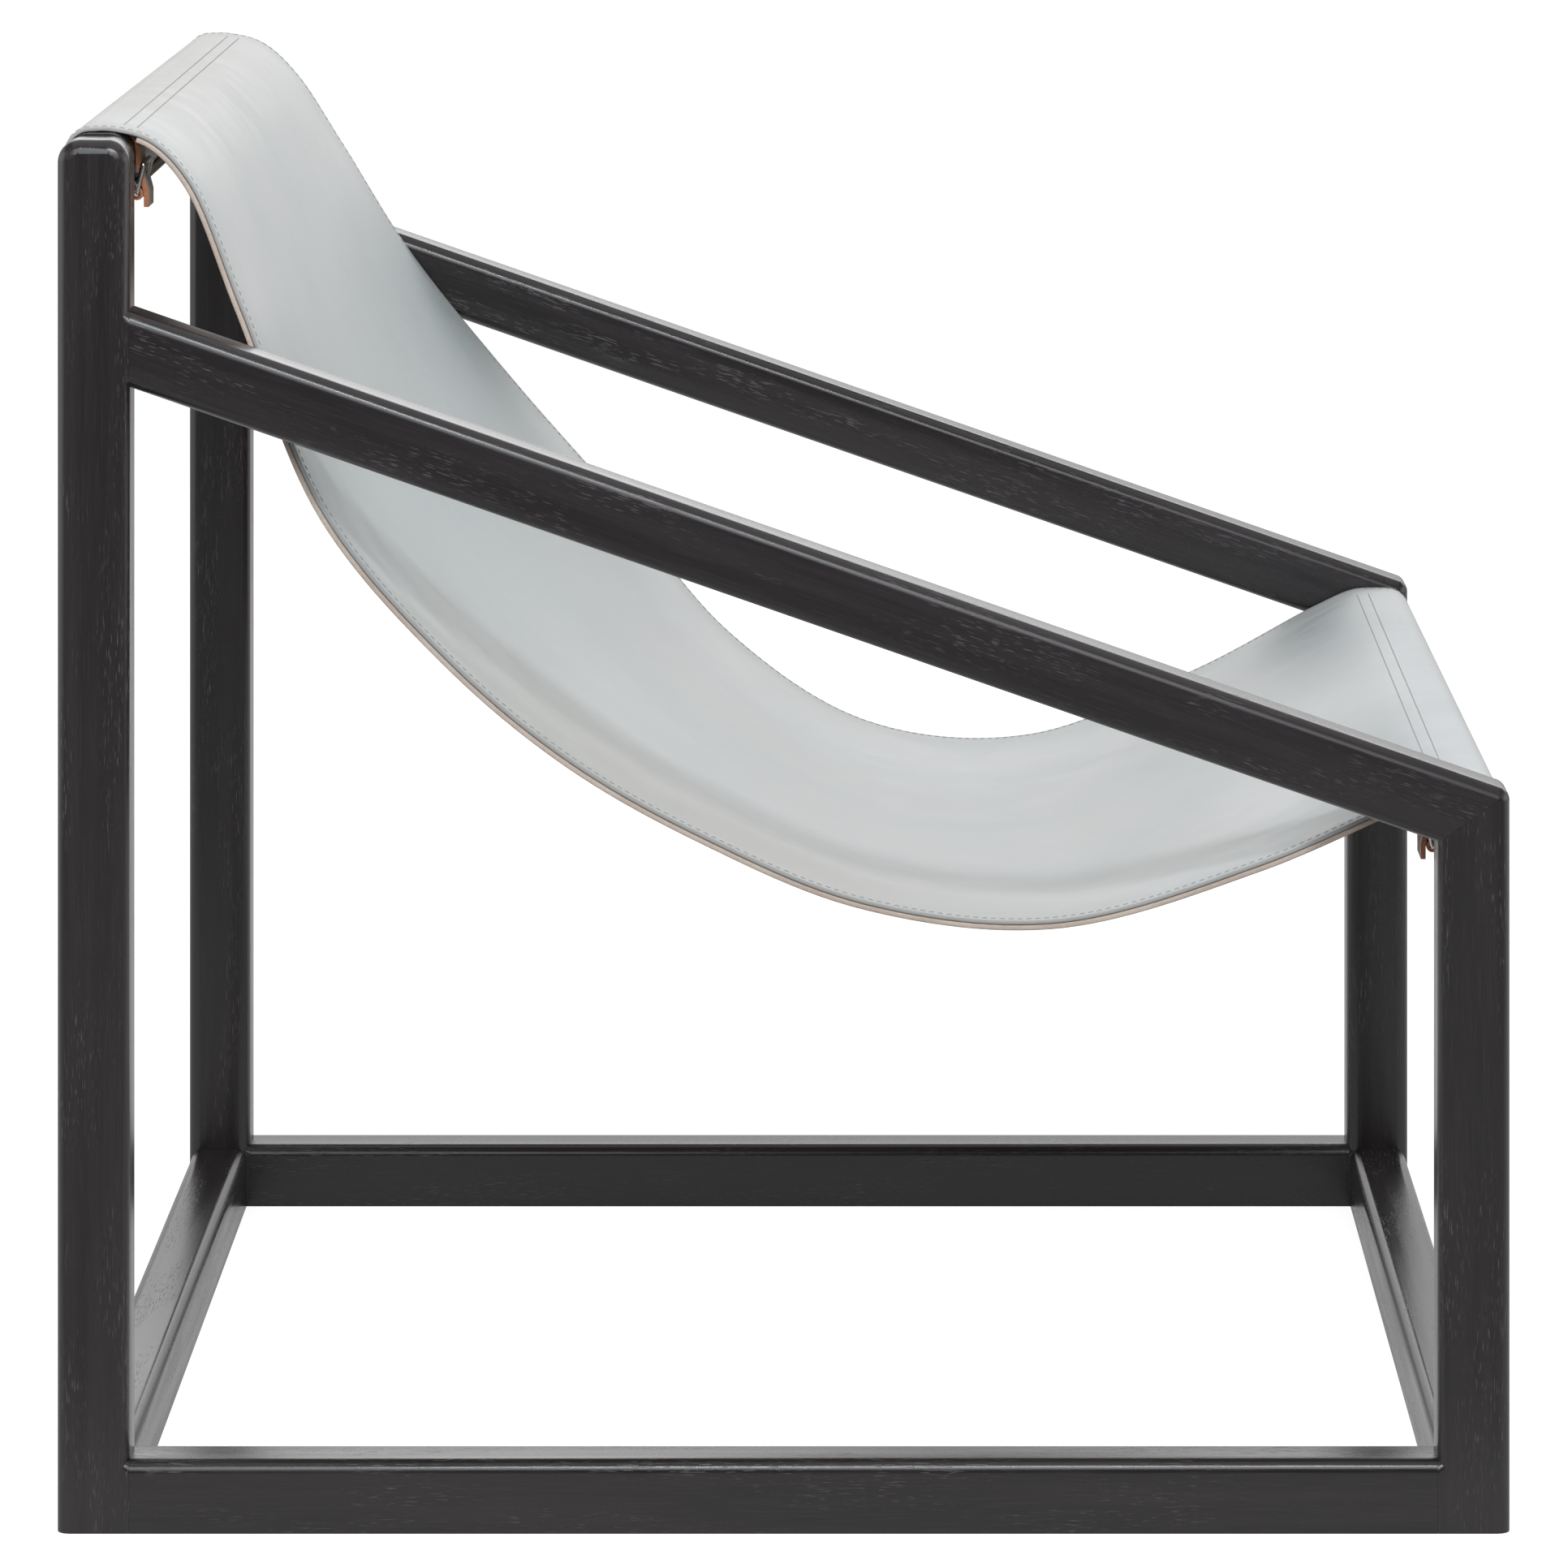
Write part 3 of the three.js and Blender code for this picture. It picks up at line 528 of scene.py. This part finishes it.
def trough_depth(across):
    """How far the sheet lies below the straight line between its edges, at its rows."""
    from_middle = abs(2 * across - 1)
    hanging = (np.arange(len(whole_sling)) - rows_in_wrap) / HANG_ROWS
    ease = smoothstep(*TROUGH_SETS_IN, hanging) * (1 - smoothstep(*TROUGH_FADES, hanging))
    return TROUGH * ease * (1 - smoothstep(TROUGH_START, 1, from_middle))


def sling_column(x):
    """Side-view points and normals of the sling's outer side at a place across the chair."""
    across = (x + half_width) / (2 * half_width)
    points = right_path[0] + (left_path[0] - right_path[0]) * across
    normals = unit(right_path[1] + (left_path[1] - right_path[1]) * across)
    return points - normals * trough_depth(across)[:, None], normals


def sling_layer(name, upper, lower, rows, material):
    """A leather between two depths under the sling's outer side, with rounded cut edges."""
    inner = half_width - CUT_EDGE_ROUND
    bend = CUT_EDGE_ROUND * (1 - math.sqrt(0.5))
    edge = [
        (half_width - bend, upper + bend),
        (half_width, upper + CUT_EDGE_ROUND),
        (half_width, lower - CUT_EDGE_ROUND),
        (half_width - bend, lower - bend),
    ]
    flat = np.linspace(-inner, inner, COLUMNS + 1)
    ring = [(x, upper) for x in flat] + edge + [(x, lower) for x in flat[::-1]]
    ring += [(-x, depth) for x, depth in edge[::-1]]
    columns = []
    for x, depth in ring:
        points, normals = sling_column(x)
        sunk = (points - normals * depth)[rows]
        columns.append(np.column_stack([np.full(len(sunk), x), sunk]))
    grid = np.stack(columns, 1)
    return add_piece(name, grid.reshape(-1, 3), tube_faces(0, len(grid), len(ring)), material)


underside = FACE + FIT + LINING
face_piece = sling_layer("sling_face_leather", 0, FACE, whole_sling, face_grey)
lining_piece = sling_layer(
    "sling_lining_leather", FACE + FIT, underside, hanging_clear, lining_tan
)
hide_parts("sling_face")
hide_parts("sling_lining")


# Stitching


def add_stitch(points, faces, centre, along, across, up, size=1.0):
    """One stitch: a short thread that dips into the leather at both ends."""
    faces += tube_faces(len(points), len(STITCH_RINGS), STITCH_SIDES)
    length, radius = size * STITCH_LENGTH, size * STITCH_RADIUS
    slanted = along * math.cos(STITCH_SLANT) + across * math.sin(STITCH_SLANT)
    aside = np.cross(slanted, up)
    for share, thick, rise in STITCH_RINGS:
        middle = centre + slanted * share * length + up * rise * radius
        for side in range(STITCH_SIDES):
            angle = 2 * math.pi * side / STITCH_SIDES
            spoke = aside * math.cos(angle) + up * math.sin(angle)
            points.append(middle + spoke * thick * radius)


def edge_stitches(points, faces, x, depth, rows, up_sign):
    """Stitches along the sling at a distance from one long edge."""
    path, normals = [values[rows] for values in sling_column(x)]
    surface = path - normals * depth
    lengths = lengths_along(surface)
    for length in np.arange(STITCH_PITCH, lengths[-1] - STITCH_PITCH, STITCH_PITCH):
        centre = np.array((x, *interpolated(length, lengths, surface)))
        up = up_sign * unit(np.array((0, *interpolated(length, lengths, normals))))
        add_stitch(points, faces, centre, np.cross(LEFT, up), LEFT, up)


def cross_stitches(points, faces, rail, distance):
    """Stitches across the whole sling, on its outer side near a rail."""
    run = half_width - CROSS_SEAM_INSET
    outer_face = rail["centre"][0] - rail["inward"] * (rail["half"] + cover)
    middle = len(whole_sling) // 2
    rows = slice(rows_in_wrap - 1, middle) if rail["inward"] < 0 else slice(middle, -rows_in_wrap + 1)
    for x in np.arange(-run, run, CROSS_STITCH * STITCH_PITCH):
        path, normals = [values[rows] for values in sling_column(x)]
        order = np.argsort(path[:, 0])
        known = path[order, 0]
        y = outer_face + rail["inward"] * (distance - CROSS_SEAM_SKEW * x / half_width)
        centre = np.array((x, *interpolated(y, known, path[order])))
        up = unit(np.array((0, *interpolated(y, known, normals[order]))))
        add_stitch(points, faces, centre, LEFT, np.cross(up, LEFT), up, CROSS_STITCH)


def sling_stitching():
    """The seams along the sling's edges, above and below, and those across it near the rails."""
    points, faces = [], []
    for x in (EDGE_STITCH_INSET - half_width, half_width - EDGE_STITCH_INSET):
        edge_stitches(points, faces, x, 0, whole_sling, 1)
        edge_stitches(points, faces, x, underside, hanging_clear, -1)
    edge_piece = add_piece("sling_edge_stitching", points, faces, thread_grey)
    points, faces = [], []
    for rail in (rear_rail, front_rail):
        for distance in CROSS_SEAMS:
            cross_stitches(points, faces, rail, distance)
    return edge_piece, add_piece("sling_cross_stitching", points, faces, thread_grey)


stitching = sling_stitching()


# Wood, straps and metal of the frame


def armrest_direction():
    """Along the armrest's upper side, from front to rear."""
    low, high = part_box("right_armrest")
    corners = np.array([corner.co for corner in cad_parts["right_armrest"].data.vertices])
    rear = corners[:, 1] > (low.y + high.y) / 2
    rear_top, front_top = [half[half[:, 2].argmax()] for half in (corners[rear], corners[~rear])]
    run, rise = (rear_top - front_top)[1:]
    return Vector((0, run, rise)).normalized()


grain_along = {
    "post": Vector((0, 0, 1)),
    "side_rail": Vector((0, 1, 0)),
    "armrest": armrest_direction(),
    "stretcher": Vector((1, 0, 0)),
    "sling_rail": Vector((1, 0, 0)),
}
woods = {kind: ebonised_wood(f"ebonised_wood_{kind}", grain) for kind, grain in grain_along.items()}


def dress(piece, materials, sharp_angle):
    """Gives a faceted piece its materials and smooth shading."""
    piece.data.materials.clear()
    for material in materials:
        piece.data.materials.append(material)
    smooth_faceted(piece, sharp_angle)


def dress_strap(node):
    """A leather strap or band: the node's own form with grey faces and brown cut edges."""
    piece = bpy.data.objects.new(node + "_leather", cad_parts[node].data.copy())
    bpy.context.scene.collection.objects.link(piece)
    dress(piece, [face_grey, strap_brown], STRAP_SHARP)
    for face in piece.data.polygons:
        face.material_index = int(abs(face.normal.x) > RAW_SIDE)
    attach(piece, MAIN_BODY)
    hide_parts(node)


for node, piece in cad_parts.items():
    kind = next((kind for kind in grain_along if node.endswith(kind)), None)
    if kind:
        dress(piece, [woods[kind]], WOOD_SHARP)
    elif node.endswith("tenon"):
        dress(piece, [tenon_beech], WOOD_SHARP)
    elif "buckle_frame" in node or "prong" in node:
        dress(piece, [nickel_plate], METAL_SHARP)
    elif "strap" in node or "band" in node:
        dress_strap(node)


# Stage


def seen_rays(tree):
    """1 for rays straight from the camera, and 1 for rays of a reflection or through glass."""
    path = add(tree, "LightPath", {})
    bent = plus(tree, path.outputs["Is Glossy Ray"], path.outputs["Is Transmission Ray"])
    return path.outputs["Is Camera Ray"], add(tree, "Clamp", {"Value": bent}).outputs[0]


def white_background():
    """White to the eye. Reflections see a white room with a dark ceiling, a dark side behind the camera and
    a dimmer far side, and everything else gets a plain soft light."""
    world = bpy.data.worlds.new("studio")
    bpy.context.scene.world = world
    world.use_nodes = True
    tree = world.node_tree
    tree.nodes.clear()
    direction = add(tree, "SeparateXYZ", {0: add(tree, "TexCoord", {}).outputs["Generated"]})
    ceiling = spread(tree, direction.outputs["Z"], 0.35, 0.7, 1.0, ROOM_DARK)
    near_side = spread(tree, direction.outputs["X"], -0.85, -0.3, ROOM_DARK, 1.0)
    far_side = spread(tree, direction.outputs["X"], 0.3, 0.8, 1.0, ROOM_FAR)
    room = times(tree, ceiling, times(tree, near_side, far_side))
    camera, reflected = seen_rays(tree)
    strength = mixed_value(tree, camera, mixed_value(tree, reflected, SOFT_LIGHT, room), 1.0)
    light = add(tree, "Background", {"Color": (1, 1, 1, 1), "Strength": strength})
    add(tree, "OutputWorld", {"Surface": light.outputs[0]})


def pale_floor():
    """White to the eye. In reflections it is dark near the camera and pale beyond."""
    material, tree, _ = principled("floor")
    tree.nodes.clear()
    matt = add(tree, "BsdfDiffuse", {"Color": FLOOR_GREY})
    place = add(tree, "SeparateXYZ", {0: object_place(tree)})
    room = spread(tree, place.outputs["X"], -0.75, -0.42, ROOM_DARK, FLOOR_REFLECTED)
    camera, reflected = seen_rays(tree)
    strength = plus(tree, times(tree, camera, FLOOR_SEEN), times(tree, reflected, room))
    glow = add(tree, "Emission", {"Color": (1, 1, 1, 1), "Strength": strength})
    both = add(tree, "AddShader", {0: matt.outputs[0], 1: glow.outputs[0]})
    add(tree, "OutputMaterial", {"Surface": both.outputs[0]})
    bpy.ops.mesh.primitive_plane_add(size=FLOOR_SIZE)
    floor = bpy.context.object
    floor.name = "floor"
    floor.data.materials.append(material)


def softbox(name, place, target, size, watts, colour=(1, 1, 1)):
    """A rectangular lamp turned to a target."""
    light = bpy.data.lights.new(name, "AREA")
    light.color = colour
    light.shape = "RECTANGLE"
    light.size, light.size_y = size
    light.energy = watts
    lamp = bpy.data.objects.new(name, light)
    bpy.context.scene.collection.objects.link(lamp)
    lamp.location = place
    lamp.rotation_euler = (Vector(target) - Vector(place)).to_track_quat("-Z", "Y").to_euler()


def studio():
    white_background()
    pale_floor()
    softbox("overhead", (0, 0, 2.6), (0.01, 0, 0.4), (3.0, 3.0), 19)
    softbox("key", (-2.58, 0.15, 1.86), (-0.2, 0, 0.4), (2.8, 1.3), 36, KEY_COLOUR)
    softbox("key_edge", (-2.3, -0.15, 2.26), (-0.2, 0, 0.4), (1.1, 0.12), 20, KEY_COLOUR)
    softbox("lit_backdrop", (3.2, -0.8, 1.9), (0, 0, 0.4), (4.5, 1.6), 40)
    softbox("front_side", (-0.3, -2.8, 0.9), (0, 0, 0.5), (2.0, 1.7), 9)
    softbox("rear_side", (-0.3, 2.8, 0.9), (0, 0, 0.5), (2.0, 1.7), 8)


def photo_camera():
    """A level camera with a shifted lens, as in the photograph: uprights stay parallel and the frame lies
    below the camera's axis. Its axes are oblique for that, so they are held by its mount."""
    offset_right = (PHOTO_SIZE / 2 - LEVEL_POINT[0]) / FOCAL
    offset_down = (PHOTO_SIZE / 2 - LEVEL_POINT[1]) / FOCAL
    right, up = Vector((0, -1, 0)), Vector((0, 0, 1))
    forward = Vector((1, 0, 0)) + right * offset_right - up * offset_down
    axes = Matrix((right, up, -forward.normalized())).transposed().to_4x4()
    camera = bpy.data.cameras.new("camera")
    camera.sensor_width = SENSOR
    camera.lens = FOCAL * forward.length / PHOTO_SIZE * SENSOR
    mount = bpy.data.objects.new("camera_mount", None)
    eye = bpy.data.objects.new("camera", camera)
    for made in (mount, eye):
        bpy.context.scene.collection.objects.link(made)
    eye.parent = mount
    eye.matrix_parent_inverse = Matrix.Translation(EYE) @ axes
    bpy.context.scene.camera = eye


studio()
photo_camera()
bpy.context.scene.view_settings.view_transform = "Standard"

bpy.context.view_layer.update()
